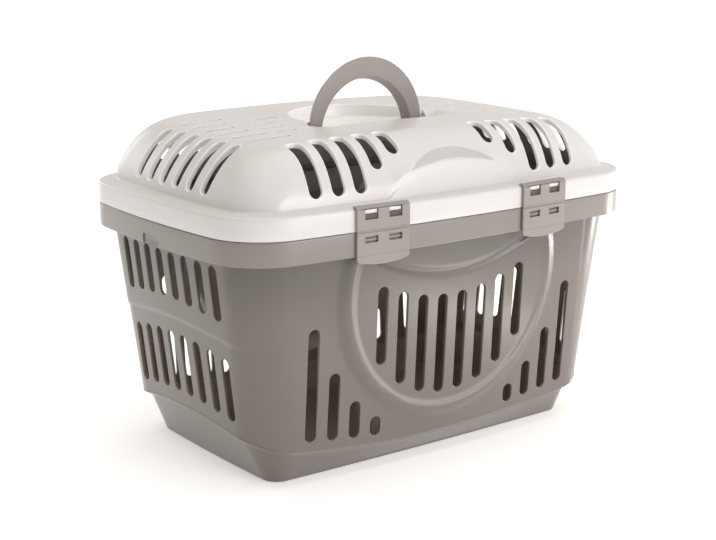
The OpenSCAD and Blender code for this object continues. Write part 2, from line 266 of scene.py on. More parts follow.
def slot_cutter(place, length, hw, depth, lip=1.0):
    """A slot whose mouth is rounded onto the wall; place(across, along) gives the point and normal there."""
    rings = []
    for o, d in [(x * lip, z * (lip if z > 0 else 1)) for x, z in LIP] + [(0.0, depth)]:
        ring = []
        for x, y in stadium(length, hw, o):
            p, n = place(x, y)
            ring.append(p - n * d)
        rings.append(ring)
    n, m = len(rings[0]), len(rings)
    v = np.concatenate(rings)
    f = [(k * n + i, k * n + (i + 1) % n, (k + 1) * n + (i + 1) % n, (k + 1) * n + i) for k in range(m - 1) for i in range(n)]
    h = n // 2
    for base, flip in ((0, True), ((m - 1) * n, False)):
        cap = [(0, 1, n - 1)] + [(j, j + 1, n - j - 1, n - j) for j in range(1, h - 1)] + [(h - 1, h, h + 1)]
        f += [tuple(base + i for i in (c[::-1] if flip else c)) for c in cap]
    return v, f


def merged(parts, name, mats):
    v, f, k = [], [], 0
    for pv, pf in parts:
        v.append(pv)
        f += [tuple(i + k for i in q) for q in pf]
        k += len(pv)
    ob = mesh_obj(name, np.concatenate(v), f, mats)
    bm = bmesh.new()
    bm.from_mesh(ob.data)
    bmesh.ops.recalc_face_normals(bm, faces=bm.faces)
    bm.to_mesh(ob.data)
    bm.free()
    ob.data.polygons.foreach_set("material_index", [1] * len(ob.data.polygons))
    return ob


def block(name, lo, hi, bevel=0.4, seg=2, mats=()):
    (x0, y0, z0), (x1, y1, z1) = lo, hi
    v = [(x, y, z) for x in (x0, x1) for y in (y0, y1) for z in (z0, z1)]
    f = [(0, 1, 3, 2), (4, 6, 7, 5), (0, 4, 5, 1), (2, 3, 7, 6), (0, 2, 6, 4), (1, 5, 7, 3)]
    ob = mesh_obj(name, v, f, mats)
    if bevel:
        m = ob.modifiers.new("v", "BEVEL")
        m.width, m.segments, m.limit_method, m.angle_limit = bevel * S, seg, "ANGLE", math.radians(30)
        apply_mods(ob)
    ob.data.polygons.foreach_set("use_smooth", [True] * len(ob.data.polygons))
    return ob


# ---------------------------------------------------------------- materials
def plastic(name, colour, rough, coat, grain, vary=0.035, edge=0.10, sss=0.0, rim=0.0, painted_inner_shading=None, top=0.0, under_rim_painted_shade=0.0, crescent=0.0):
    """Moulded plastic: faint flow clouds in colour and gloss, a fine moulded grain, edges a little lighter.

    The inner shading argument is (height of the shell's middle, half height, share of the colour kept on faces that
    look inwards): faces that look inwards get painted shade where the share is under 1 and painted warm light where it
    is over 1."""
    m = bpy.data.materials.new(name)
    m.use_nodes = True
    t = m.node_tree
    t.nodes.clear()
    L = t.links.new
    out, bs = t.nodes.new("ShaderNodeOutputMaterial"), t.nodes.new("ShaderNodeBsdfPrincipled")
    co = t.nodes.new("ShaderNodeTexCoord")
    cloud = t.nodes.new("ShaderNodeTexNoise")
    cloud.inputs["Scale"].default_value, cloud.inputs["Detail"].default_value = 14.0, 3.0
    L(co.outputs["Object"], cloud.inputs["Vector"])
    fine = t.nodes.new("ShaderNodeTexNoise")
    fine.inputs["Scale"].default_value, fine.inputs["Detail"].default_value = 900.0, 2.0
    L(co.outputs["Object"], fine.inputs["Vector"])
    ramp = t.nodes.new("ShaderNodeValToRGB")
    c = np.array(colour)
    ramp.color_ramp.elements[0].position, ramp.color_ramp.elements[1].position = 0.32, 0.68
    ramp.color_ramp.elements[0].color = (*np.clip(c * (1 - vary), 0, 1), 1)
    ramp.color_ramp.elements[1].color = (*np.clip(c * (1 + vary), 0, 1), 1)
    L(cloud.outputs["Fac"], ramp.inputs["Fac"])
    geo = t.nodes.new("ShaderNodeNewGeometry")
    worn = t.nodes.new("ShaderNodeMapRange")
    worn.inputs["From Min"].default_value, worn.inputs["From Max"].default_value = 0.52, 0.62
    worn.inputs["To Min"].default_value, worn.inputs["To Max"].default_value = 0.0, edge
    L(geo.outputs["Pointiness"], worn.inputs["Value"])
    mix = t.nodes.new("ShaderNodeMix")
    mix.data_type = "RGBA"
    L(worn.outputs["Result"], mix.inputs[0])
    L(ramp.outputs["Color"], mix.inputs[6])
    mix.inputs[7].default_value = (*np.clip(c * 1.5 + 0.05, 0, 1), 1)
    if rim:   # painted light: the rim is painted lighter than the walls below it, and its colour is cooled towards a highlight's
        sep, up, painted_rim_light = t.nodes.new("ShaderNodeSeparateXYZ"), t.nodes.new("ShaderNodeMapRange"), t.nodes.new("ShaderNodeMix")
        L(co.outputs["Object"], sep.inputs[0])
        L(sep.outputs["Z"], up.inputs["Value"])
        up.inputs["From Min"].default_value, up.inputs["From Max"].default_value = 0.2105, 0.2125
        painted_rim_light.data_type = "RGBA"
        L(up.outputs["Result"], painted_rim_light.inputs[0])
        L(mix.outputs[2], painted_rim_light.inputs[6])
        painted_rim_light.inputs[7].default_value = (*np.clip(c * (1 + rim) * np.array((0.97, 1.01, 1.08)), 0, 1), 1)
        mix = painted_rim_light
    if painted_inner_shading:   # painted shade and light: faces that look towards the shell's middle are painted darker where the kept share is under 1, lighter and warmer where it is over 1
        zc, zh, keep = painted_inner_shading
        off, lead, look = (t.nodes.new("ShaderNodeVectorMath") for _ in range(3))
        off.operation, lead.operation, look.operation = "SUBTRACT", "MULTIPLY", "DOT_PRODUCT"
        unit, dark, painted_inner_mix = t.nodes.new("ShaderNodeVectorMath"), t.nodes.new("ShaderNodeMapRange"), t.nodes.new("ShaderNodeMix")
        unit.operation = "NORMALIZE"
        L(co.outputs["Object"], off.inputs[0])
        off.inputs[1].default_value = (0, 0, zc)
        L(off.outputs[0], lead.inputs[0])
        lead.inputs[1].default_value = (1 / 0.24 ** 2, 1 / 0.155 ** 2, 1 / zh ** 2)
        L(lead.outputs[0], unit.inputs[0])
        L(unit.outputs[0], look.inputs[0])
        L(geo.outputs["Normal"], look.inputs[1])
        L(look.outputs["Value"], dark.inputs["Value"])
        dark.inputs["From Min"].default_value, dark.inputs["From Max"].default_value = -0.60, -0.40
        dark.inputs["To Min"].default_value, dark.inputs["To Max"].default_value = 1.0, 0.0
        painted_inner_mix.data_type = "RGBA"
        if top:   # above this height no inner shade is painted: the handle's well and its pin bosses
            zed, low, both = t.nodes.new("ShaderNodeSeparateXYZ"), t.nodes.new("ShaderNodeMapRange"), t.nodes.new("ShaderNodeMath")
            L(co.outputs["Object"], zed.inputs[0])
            L(zed.outputs["Z"], low.inputs["Value"])
            low.inputs["From Min"].default_value, low.inputs["From Max"].default_value = top - 0.001, top
            low.inputs["To Min"].default_value, low.inputs["To Max"].default_value = 1.0, 0.0
            both.operation = "MULTIPLY"
            L(dark.outputs["Result"], both.inputs[0])
            L(low.outputs["Result"], both.inputs[1])
            L(both.outputs[0], painted_inner_mix.inputs[0])
        else:
            L(dark.outputs["Result"], painted_inner_mix.inputs[0])
        L(mix.outputs[2], painted_inner_mix.inputs[6])
        # painted warm bounce light inside the tub, painted neutral shade inside the lid
        painted_inner_mix.inputs[7].default_value = (*(c * keep * (np.array((1.15, 1.0, 0.88)) if keep > 1 else np.array((0.99, 1.0, 1.0)))), 1)
        mix = painted_inner_mix
    if under_rim_painted_shade:   # painted shade: the wall is painted darker close beneath the rim, where the rim's shadow falls
        sep2, down, painted_rim_shadow = t.nodes.new("ShaderNodeSeparateXYZ"), t.nodes.new("ShaderNodeMapRange"), t.nodes.new("ShaderNodeMix")
        L(co.outputs["Object"], sep2.inputs[0])
        L(sep2.outputs["Z"], down.inputs["Value"])
        down.interpolation_type = "SMOOTHSTEP"
        down.inputs["From Min"].default_value, down.inputs["From Max"].default_value = 0.150, 0.208
        gate, both = t.nodes.new("ShaderNodeMapRange"), t.nodes.new("ShaderNodeMath")
        L(sep2.outputs["Z"], gate.inputs["Value"])
        gate.inputs["From Min"].default_value, gate.inputs["From Max"].default_value = 0.2105, 0.2125
        gate.inputs["To Min"].default_value, gate.inputs["To Max"].default_value = under_rim_painted_shade, 0.0
        both.operation = "MULTIPLY"
        L(down.outputs["Result"], both.inputs[0])
        L(gate.outputs["Result"], both.inputs[1])
        painted_rim_shadow.data_type = "RGBA"
        L(both.outputs[0], painted_rim_shadow.inputs[0])
        L(mix.outputs[2], painted_rim_shadow.inputs[6])
        painted_rim_shadow.inputs[7].default_value = (*(c * 0.35), 1)
        mix = painted_rim_shadow
    if crescent:   # painted shade: the crescent's sloping facet is painted darker, between the disc's edge and a tighter arc above it
        def calc(op, a, b=None):
            n = t.nodes.new("ShaderNodeMath")
            n.operation = op
            for i, v in enumerate((a, b)):
                if v is None:
                    continue
                if isinstance(v, (int, float)):
                    n.inputs[i].default_value = v
                else:
                    L(v, n.inputs[i])
            return n.outputs[0]
        sp = t.nodes.new("ShaderNodeSeparateXYZ")
        L(co.outputs["Object"], sp.inputs[0])
        cl, sl = 0.99166, 0.12892
        py, pz = calc("ADD", sp.outputs["Y"], 0.1379), calc("SUBTRACT", sp.outputs["Z"], 0.257)
        deep = calc("SUBTRACT", calc("MULTIPLY", py, cl), calc("MULTIPLY", pz, sl))
        high = calc("ADD", calc("ADD", calc("MULTIPLY", py, sl), calc("MULTIPLY", pz, cl)), 0.089)
        xx = calc("MULTIPLY", sp.outputs["X"], sp.outputs["X"])
        rad = calc("SQRT", calc("ADD", xx, calc("MULTIPLY", high, high)))
        tip, side = calc("SUBTRACT", high, 0.0459), calc("SUBTRACT", sp.outputs["X"], 0.0015)
        arc = calc("SQRT", calc("ADD", calc("MULTIPLY", side, side), calc("MULTIPLY", tip, tip)))
        below, above = t.nodes.new("ShaderNodeMapRange"), t.nodes.new("ShaderNodeMapRange")
        L(arc, below.inputs["Value"])
        below.inputs["From Min"].default_value, below.inputs["From Max"].default_value = 0.0814, 0.0820
        below.inputs["To Min"].default_value, below.inputs["To Max"].default_value = crescent, 0.0
        L(rad, above.inputs["Value"])
        above.inputs["From Min"].default_value, above.inputs["From Max"].default_value = 0.1172, 0.1178
        front_side = calc("LESS_THAN", sp.outputs["Y"], -0.10)
        raised = calc("MULTIPLY", calc("GREATER_THAN", sp.outputs["Z"], 0.262), calc("GREATER_THAN", deep, 0.0009))
        crescent_shade_mask = calc("MULTIPLY", calc("MULTIPLY", below.outputs["Result"], above.outputs["Result"]), calc("MULTIPLY", front_side, raised))
        painted_crescent_shade = t.nodes.new("ShaderNodeMix")
        painted_crescent_shade.data_type = "RGBA"
        L(crescent_shade_mask, painted_crescent_shade.inputs[0])
        L(mix.outputs[2], painted_crescent_shade.inputs[6])
        painted_crescent_shade.inputs[7].default_value = (*(c * 0.5 * np.array((1.0, 0.95, 0.95))), 1)
        mix = painted_crescent_shade
    L(mix.outputs[2], bs.inputs["Base Color"])
    rr = t.nodes.new("ShaderNodeMapRange")
    rr.inputs["To Min"].default_value, rr.inputs["To Max"].default_value = rough - 0.05, rough + 0.05
    L(cloud.outputs["Fac"], rr.inputs["Value"])
    L(rr.outputs["Result"], bs.inputs["Roughness"])
    bump = t.nodes.new("ShaderNodeBump")
    bump.inputs["Strength"].default_value, bump.inputs["Distance"].default_value = grain, 0.0002
    L(fine.outputs["Fac"], bump.inputs["Height"])
    L(bump.outputs["Normal"], bs.inputs["Normal"])
    bs.inputs["Coat Weight"].default_value = coat
    bs.inputs["Coat Roughness"].default_value = 0.20
    bs.inputs["IOR"].default_value = 1.49
    if sss:
        bs.inputs["Subsurface Weight"].default_value = sss
        bs.inputs["Subsurface Scale"].default_value = 0.004
        bs.inputs["Subsurface Radius"].default_value = (1.0, 0.8, 0.7)
    L(bs.outputs["BSDF"], out.inputs["Surface"])
    return m


# Painted light and shade on the tub: its rim is painted lighter, its inward faces lighter and warmer, and its wall
# darker just beneath the rim.
TUB = plastic("tub_plastic", (0.148, 0.126, 0.107), 0.34, 0.55, 0.08, rim=0.58, painted_inner_shading=(0.12, 0.12, 1.25), under_rim_painted_shade=0.46)
# Painted shade on the lid: its faces that look inwards and the crescent's facet are painted darker.
LID = plastic("lid_plastic", (0.660, 0.634, 0.618), 0.32, 0.35, 0.05, vary=0.010, edge=0.22, painted_inner_shading=(0.24, 0.07, 0.45), top=0.297, crescent=0.40)
# Painted light: the lid's cut faces, the slot walls, the well and the bores, are painted a lighter white than the lid.
LID_CUT_PAINTED_LIGHT = plastic("lid_cut_painted_light_plastic", (0.900, 0.880, 0.865), 0.30, 0.35, 0.05, vary=0.010, edge=0.0)
HANDLE = plastic("handle_plastic", (0.285, 0.255, 0.232), 0.42, 0.16, 0.14)
CLIP = plastic("clip_plastic", (0.280, 0.252, 0.230), 0.46, 0.10, 0.14)
# Painted shade: a near-black copy of the clip plastic for the blocks in the hooks' windows.
CLIP_WINDOW_PAINTED_SHADE = plastic("clip_window_painted_shade_plastic", (0.095, 0.084, 0.076), 0.60, 0.0, 0.14)
CUT = bpy.data.materials.new("cut")

# ---------------------------------------------------------------- tub
WO = outline(208, 126, 44)


def step_z(p):
    w = smooth((np.abs(p[:, 0]) - 170) / 34)
    return (1 - w) * (22.6 + 0.00035 * p[:, 0] ** 2) + w * (53 - 0.001 * p[:, 1] ** 2)


STEP = step_z(WO)


def dress(p, inner=False):
    """The raised disc on the front and rear walls and the raised panel on the ends."""
    q = p.copy()
    x, y, z = p[:, 0], p[:, 1], p[:, 2]
    # Disc: a leaning plane, its edge rounded over 16 mm, fading out above the smile-shaped crease
    rho = np.hypot(x, z - 168)
    u = np.clip((131 - rho) / 16, 0, 1)
    g = 0.42 * u + 0.58 * (1 - (1 - u) ** 2)
    bead = 2.2 * np.cos(np.clip((rho - 121) / 10, -1, 1) * math.pi / 2) ** 2
    off = WALL if inner else 0.0
    proud = np.maximum(131.6 + 0.055 * (z - 68) - off - np.abs(y), 0.0)
    smile = 176 + 0.0027 * x * x
    open_top = 1 - smooth((np.abs(x) - 92) / 20)
    fade = 1 - smooth((z - smile) / 6.0) * open_top
    groove = 0.75 * np.exp(-((z - smile - 4.5) / 3.3) ** 2) * open_top * (0 if inner else 1)
    face = smooth((np.abs(y) - 100) / 12)
    q[:, 1] += np.sign(y) * (proud * g * fade + (0 if inner else 1) * bead * smooth(proud / 1.0) * fade - groove) * face
    # Front panel: a soft edge in front of each corner
    q[:, 1] += np.sign(y) * 0.45 * (1 - smooth((np.abs(x) - 171) / 5)) * smooth((z - 62) / 20) * face * (0 if inner else 1)
    # End panel: 1.5 mm proud above an arched crease, fading out into the corners
    crease = 141.5 - 8.0 * (y / 100) ** 2
    side = 1 - smooth((np.abs(y) - 96) / 24)
    q[:, 0] += np.sign(x) * 1.47 * smooth((z - crease + 2.5) / 5.0) * side * smooth((np.abs(x) - 195) / 8)
    return q


def end_a(z):
    return 217 + 0.11 * (z - 128)


def tub_wall(t):
    """Three levels of the wall, t thick measured inwards."""
    base = at(outline(208 - t, 126 - t, 44 - t), STEP + 1.5)
    mid = at(outline(end_a(128) - t, 132.7 - t, 44.4 - t), 128)
    up = at(outline(end_a(141) - t, 133.9 - t, 44.6 - t), 141)
    top = at(outline(end_a(209) - t, 139.3 - t, 45 - t), 209)
    return base, mid, up, top


def tub_rings():
    rings = []
    ba, bb = 182.5, 104.3

    def base(d, r, z):
        return at(outline(ba - d, bb - d, r, rf=6000, rs=2100), z)
    rings += [base(60, 8, 1.2), base(16, 8, 1.2), base(12, 9, 1.1), base(10, 10, 0.2), base(9, 10, 0.0), base(3.2, 15, 0.0)]
    rings += [base(1.9, 16.1, 0.35), base(0.9, 17, 1.0), base(0.3, 17.6, 1.9)]
    foot, skirt = base(0, 18, 3.0), at(outline(200, 118.5, 38), STEP - 5)
    rings += between(foot, skirt, 14)
    rings += [skirt, at(outline(201.2, 119.7, 39), STEP - 4.5), at(outline(203.6, 122, 40.6), STEP - 3.2),
              at(outline(206, 124.3, 42.4), STEP - 1.9), at(outline(207.3, 125.5, 43.4), STEP - 1.2),
              at(outline(208.15, 126.2, 44), STEP - 0.5), at(outline(208.35, 126.4, 44.1), STEP + 0.2),
              at(outline(208.2, 126.2, 44.1), STEP + 0.8)]
    b, m, u, t = tub_wall(0)
    wall = between(b, m, 52) + between(m, u, 7) + between(u, t, 36, True)
    rings += [dress(w) for w in wall]
    rings += [at(outline(228.2, 140.2, 45.6), 222), at(outline(228.8, 140.8, 46.2), 230.5),
              at(outline(229.3, 141.3, 46.6), 231.3), at(outline(230.2, 142.2, 47.5), 231.5)]
    rings += [at(outline(A - d, B - d, RIM_R - d), z) for d, z in (
        (3.5, 231.5), (2.7, 231.2), (2.5, 230.4), (2.5, 222.0), (2.5, 212.9), (2.3, 212.3), (1.8, 212.0), (0.8, 212.0),
        (0.3, 212.2), (0.05, 212.7), (0, 213.4), (0, 222.0), (0, 232.6), (0.1, 233.2), (0.4, 233.75), (1.0, 234.0),
        (3.4, 234.0), (3.7, 234.3), (4.0, 237.2), (4.3, 237.6), (5.6, 237.6), (5.9, 237.2), (6.1, 234.4), (6.6, 234.0))]
    rings += [at(outline(228.6, 141.2, 45.8), 234.0), at(outline(227.0, 139.6, 44.4), 233.9),
              at(outline(226.4, 139.0, 43.8), 233.2)]
    b, m, u, t = tub_wall(WALL)
    inner = between(t, u, 36) + between(u, m, 7) + between(m, b, 52, True)
    rings += [dress(w, True) for w in inner]
    rings += [at(outline(204.2, 122.6, 41), STEP + 0.3), at(outline(198.0, 116.4, 36), STEP - 3.6)]
    low = at(outline(ba - 3.2, bb - 3.2, 15, rf=6000, rs=2100), 5.5)
    rings += between(at(outline(197.2, 115.6, 35.4), STEP - 4.4), low, 10, True)
    rings += [at(outline(ba - d, bb - d, r, rf=6000, rs=2100), z) for d, r, z in ((4.5, 14, 3.4), (7, 12, 2.7), (10, 10, 2.6))]
    return rings


def front(x0, z0, s):
    """Places a slot on the front (s = -1) or rear wall; across is X, along is Z."""
    return lambda u, v: TUB_SKIN.ray((x0 + u, s * 175, z0 + v), (0, -s, 0))


def end(y0, z0, s):
    return lambda u, v: TUB_SKIN.ray((s * 260, y0 + u, z0 + v), (-s, 0, 0))


DISC_SLOTS = [(63.8, 159.7), (68.9, 162.4), (81.4, 168.6), (103.9, 177)]
WALL_SLOTS = [(33.8, 52.1), (36, 71.2), (38.5, 102.2), (41.3, 147)]
END_UP = [(161, 205.4), (159.3, 206), (157.4, 205.4), (154.6, 205)]
END_LOW = [(67, 126), (65.8, 125), (63.4, 122.6), (60.2, 119)]

tub = loft_obj("tub_shell", tub_rings(), (TUB, CUT))
TUB_SKIN = Skin(tub)
cuts = []
for s in (-1, 1):
    for t in (-1, 1):
        for k in range(4):
            for x, (z0, z1) in ((23.4 * (k + 0.5), DISC_SLOTS[k]), (23.4 * (k + 3.5) if s < 0 else 89.3 + 21.6 * k, WALL_SLOTS[k])):
                cuts.append(slot_cutter(front(t * x, z0, s), z1 - z0, 5.6, 7.5))
            for z0, z1 in (END_UP[k], END_LOW[k]):
                cuts.append(slot_cutter(end(t * 22.2 * (k + 0.5), z0, s), z1 - z0, 5.6, 7.0))
boolean(tub, merged(cuts, "tub_cuts", (TUB, CUT)), "DIFFERENCE")
for s in (-1, 1):
    notch = block("notch", (s * 239 - 3, -14, 205), (s * 239 + 3, 14, 221.3), 0.8, 2, (TUB, CUT))
    notch.data.polygons.foreach_set("material_index", [1] * len(notch.data.polygons))
    boolean(tub, notch, "DIFFERENCE")
keep_normals(tub, TUB_SKIN)
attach(tub, "tub_body")
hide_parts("tub")

# ---------------------------------------------------------------- lid
DOME = np.array([
    [223.3, 137.6, 256, 256], [220.6, 136.1, 265, 265], [212.6, 130.8, 279, 279], [205.2, 125.6, 288.6, 288.6],
    [197, 119.2, 296.6, 296.8], [188.4, 112, 302.4, 303.3], [181, 106, 305.3, 307], [172, 99.5, 306.9, 309.4],
    [158, 89, 307.9, 310.5], [110, 52, 309.5, 311.2], [55, 24, 310.9, 311.6], [12, 5, 311.7, 311.7]])
DS = np.concatenate([[0], np.cumsum(np.hypot(np.diff(DOME[:, 0]), np.diff(DOME[:, 3])))])


def dome_row(s):
    return [float(spline(DS, DOME[:, i], np.array([s]))[0]) for i in range(4)]


def dome_ring(s, t):
    a, b, ze, zm = dome_row(s)
    w = min(1.0, max(0.0, (zm - 257) / 55))
    k = smooth(np.array((s - DS[2]) / (DS[6] - DS[2])))
    big = min(1.0, a / 110.0)      # the corners shrink with the ring near the middle of the top
    rf, rr = (40 + 11.5 * w) * big - t, (40 + 17 * w) * big - t
    if b + 24 * w * big - t < rr + 1:
        rf, rr = min(rf, b - t - 1), min(rr, b + 24 * w * big - t - 1)
    rf, rr = max(rf, 1.5), max(rr, 1.5)
    o = outline(a - t, b - t, min(rf, b - t - 0.5), b + 24 * w * big - t, rr)
    z = zm + (ze - zm) * (o[:, 0] / (a - t)) ** 2 + w * (0.2 + 0.015 * o[:, 1]) - t * k
    p = scoop(np.column_stack([o, z]))
    return p if t else bulge(p)


def bulge(p):
    """The dome's front swells out to the raised disc on both sides of the crescent."""
    q = p.copy()
    x, y, z = np.abs(p[:, 0]), p[:, 1], p[:, 2]
    plane = -137.9 + 0.13 * (z - 257) + 0.35
    w = smooth((x - 31) / 20) * (1 - smooth((x - 60) / 16)) * (1 - smooth((np.hypot(x, z - 168) - 119) / 13))
    q[:, 1] += np.where(y < -60, np.minimum(plane - y, 0) * w, 0)
    return q


def scoop(p):
    """The top dips gently in front of the handle's feet and meets the well there."""
    q = p.copy()
    x, y, z = p[:, 0], p[:, 1], p[:, 2]
    depth = 9.0 * smooth((y + 50) / 44) * (1 - smooth((y + 11) / 8) * smooth((np.abs(x) - 66) / 4))
    depth = depth * (1 - smooth((y + 6) / 8))
    side = 1 - smooth((np.abs(x) - 69) / 18)
    q[:, 2] -= depth * side * smooth((z - 296) / 8)
    return q


def lid_rings():
    def band(d, z):
        return at(outline(A - d, B - d, RIM_R - d), z)
    rows = np.concatenate([np.linspace(0, DS[8], 64), np.linspace(DS[8], DS[-1], 26)[1:]])
    out = [dome_ring(s, WALL) for s in rows[::-1] if s > 2]
    out += [at(outline(223.3 - WALL, 137.6 - WALL, 40 - WALL), 253.4)]
    out += [band(4.2, 253.1), band(3.0, 252.6), band(2.6, 251.6), band(2.5, 244), band(2.5, 235.2), band(2.3, 234.6), band(1.9, 234.3)]
    out += [band(0.7, 234.3), band(0.25, 234.45), band(0.0, 235.0), band(0.0, 244.0), band(0.0, 251.6), band(0.15, 252.6),
            band(0.6, 253.5), band(1.3, 254.05), band(2.2, 254.3), band(4.0, 254.5)]
    ledge0, ledge1 = band(4.0, 254.5), at(outline(227.0, 141.1, 43.0), 255.1)
    out += between(ledge0, ledge1, 5)[1:]
    out += [ledge1, at(outline(225.3, 139.5, 41.6), 255.5)]
    out += [dome_ring(s, 0) for s in rows]
    return out


lid = loft_obj("lid_shell", lid_rings(), (LID, CUT))
LID_SKIN = Skin(lid)


def turned(name, prof, n, place, mats=()):
    """A closed solid turned round an axis; prof is (radius, depth along the axis) from axis to axis."""
    a = np.arange(n) * 2 * math.pi / n
    rings = [place(r * np.cos(a), r * np.sin(a), np.full(n, d)) for r, d in prof]
    return loft_obj(name, rings, mats)


def lean_plate(x, z, d):
    """The raised disc's own frame carried up the lid: it leans back by 0.13."""
    c, s = math.cos(math.atan(0.13)), math.sin(math.atan(0.13))
    z = z + 168 - 257
    return np.column_stack([x, -137.9 + d * c + z * s, 257 - d * s + z * c])


def dome_ray(s, x, phi, far):
    d = np.array([0, s * math.cos(phi), math.sin(phi)])
    return np.array([x, s * (far - 18), 254.0]) + d * 130, -d


def end_ray(s, y, phi, far):
    d = np.array([s * math.cos(phi), 0, math.sin(phi)])
    return np.array([s * 164, y, 254.0]) + d * 130, -d


def dome_slot(s, x0, z0, far, hw, ray, axis):
    phi = np.radians(np.linspace(-8, 100, 130))
    pts = np.array([LID_SKIN.ray(*ray(s, x0, p, far))[0] for p in phi])
    arc = np.concatenate([[0], np.cumsum(np.linalg.norm(np.diff(pts, axis=0), axis=1))])
    s0 = np.interp(z0, pts[:60, 2], arc[:60])
    k = np.argmax(np.abs(pts[:, axis]) < far)
    s1 = np.interp(-far, -np.abs(pts[k - 3:k + 3, axis]), arc[k - 3:k + 3])
    return slot_cutter(lambda u, v: LID_SKIN.ray(*ray(s, x0 + u, np.interp(s0 + v, arc, phi), far)), s1 - s0, hw, 9.5, 1.4)


room = loft_obj("room", [dome_ring(t, WALL - 0.1) for t in np.concatenate([np.linspace(2.5, DS[8], 40), np.linspace(DS[8], DS[-1], 14)[1:]])], (LID, CUT))


def crescent_plate(x, z, d):
    """The disc's upper edge runs 4 mm wider at the crescent's tips than at its middle."""
    r = np.hypot(x, z)
    across = 117 * np.abs(x) / np.maximum(r, 1e-6)
    grow = 4.0 * np.clip(across / 47, 0, 1) ** 2 * (1 - smooth((across - 50) / 14)) * (z > 0) * (r > 115.4)
    return lean_plate(x * (1 + grow / r), z * (1 + grow / r), d)


plate = turned("plate", [(0.5, 0.0), (60, 0.0), (113.2, 0.0), (114.2, 0.08), (115.2, 0.22), (115.6, 0.3), (116.1, 0.5), (116.6, 0.9), (117.0, 1.35),
                         (128.3, 12.4), (0.5, 12.4)], 300, crescent_plate, (LID, CUT))
boolean(plate, block("keep", (-100, -160, 254.9), (100, -100, 315), 0, 0, (LID, CUT)), "INTERSECT")
roomy = room.copy()
roomy.data = room.data.copy()
bpy.context.scene.collection.objects.link(roomy)
boolean(plate, roomy, "DIFFERENCE")
boolean(lid, plate, "UNION")


def d_shape(o):
    """The well's outline: round at the back, straight at the front."""
    r, yf = 72.0 + o, 11.0 + o
    a0 = -math.asin(yf / r)
    a = np.linspace(a0, math.pi - a0, 110)
    arc = np.column_stack([r * np.cos(a), 3 + r * np.sin(a)])
    x = r * math.cos(a0)
    line = np.column_stack([np.linspace(-x, x, 42)[1:-1], np.full(40, 3 - yf)])
    return np.concatenate([arc, line])


def well_solid(name, grow, floor, top, lip):
    rings = [at(d_shape(grow - 4), floor), at(d_shape(grow - 2.2), floor), at(d_shape(grow - 1.0), floor + 0.35),
             at(d_shape(grow - 0.35), floor + 0.95), at(d_shape(grow), floor + 2.0)]
    if lip:
        for o, d in ((0, 1.6), (0.06, 1.0), (0.24, 0.55), (0.55, 0.2), (0.95, 0.0), (1.8, -0.4)):
            ring = d_shape(grow + o)
            rings.append(np.array([LID_SKIN.ray((x, y, 340), (0, 0, -1))[0] - (0, 0, d) for x, y in ring]))
        rings.append(at(d_shape(grow + 1.85), top))
    else:
        rings.append(at(d_shape(grow), top))
    return loft_obj(name, rings, (LID, CUT))


pocket = well_solid("pocket", WALL, 299.5 - WALL, 330, False)
for s in (-1, 1):
    boolean(pocket, block("ear", (s * 76 - 6, -4, 297.2), (s * 76 + 6, 10, 325), 0, 0, (LID, CUT)), "UNION")
boolean(pocket, room, "INTERSECT")
boolean(lid, pocket, "UNION")
well = well_solid("well", 0.0, 299.5, 340, True)
well.data.polygons.foreach_set("material_index", [1] * len(well.data.polygons))
for s in (-1, 1):   # small ears carry the pin bores in to the handle's feet
    boolean(well, turned("lug", [(0.2, 0), (4.7, 0), (5.1, 0.2), (5.2, 0.6), (5.2, 5.4), (0.2, 5.4)], 48,
                         lambda x, z, d: np.column_stack([s * (68.6 + d), 3 + x, 305 + z]), (LID, CUT)), "DIFFERENCE")
well.data.polygons.foreach_set("material_index", [1] * len(well.data.polygons))
boolean(lid, well, "DIFFERENCE")
for s in (-1, 1):
    bore = turned("bore", [(0.2, 0), (3.3, 0), (3.3, 25), (0.2, 25)], 40,
                  lambda x, z, d: np.column_stack([s * (51.5 + d), 3 + x, 305 + z]), (LID, CUT))
    bore.data.polygons.foreach_set("material_index", [1] * len(bore.data.polygons))
    boolean(lid, bore, "DIFFERENCE")
cuts = []
for s in (-1, 1):
    for t in (-1, 1):
        for k in range(5):
            cuts.append(dome_slot(t, s * 23.2 * (k + 2.45), (293, 282, 263.5, 263.5, 263.5)[k], 91 if t < 0 else 119, 6.6, dome_ray, 1))
    for k in range(6):
        cuts.append(dome_slot(s, (k - 2.5) * 23.2, 264.2, 181, 5.6, end_ray, 0))
    for k in np.arange(-2.5, 3):
        x0 = 141.5 - 2.4 * k * k
        cuts.append(slot_cutter(lambda u, v, y=k * 23.4, x=x0: LID_SKIN.ray((s * (x + v), y + u, 340), (0, 0, -1)), 174.7 - x0, 2.7, 5.5, 0.35))
    for k, x0, x1 in ((1.5, 78, 106), (0.5, 96, 121), (-0.5, 103, 128), (-1.5, 103, 128)):
        cuts.append(slot_cutter(lambda u, v, y=k * 23.4, x=x0: LID_SKIN.ray((s * (x + v), y + u, 340), (0, 0, -1)), x1 - x0, 2.7, 5.5, 0.35))
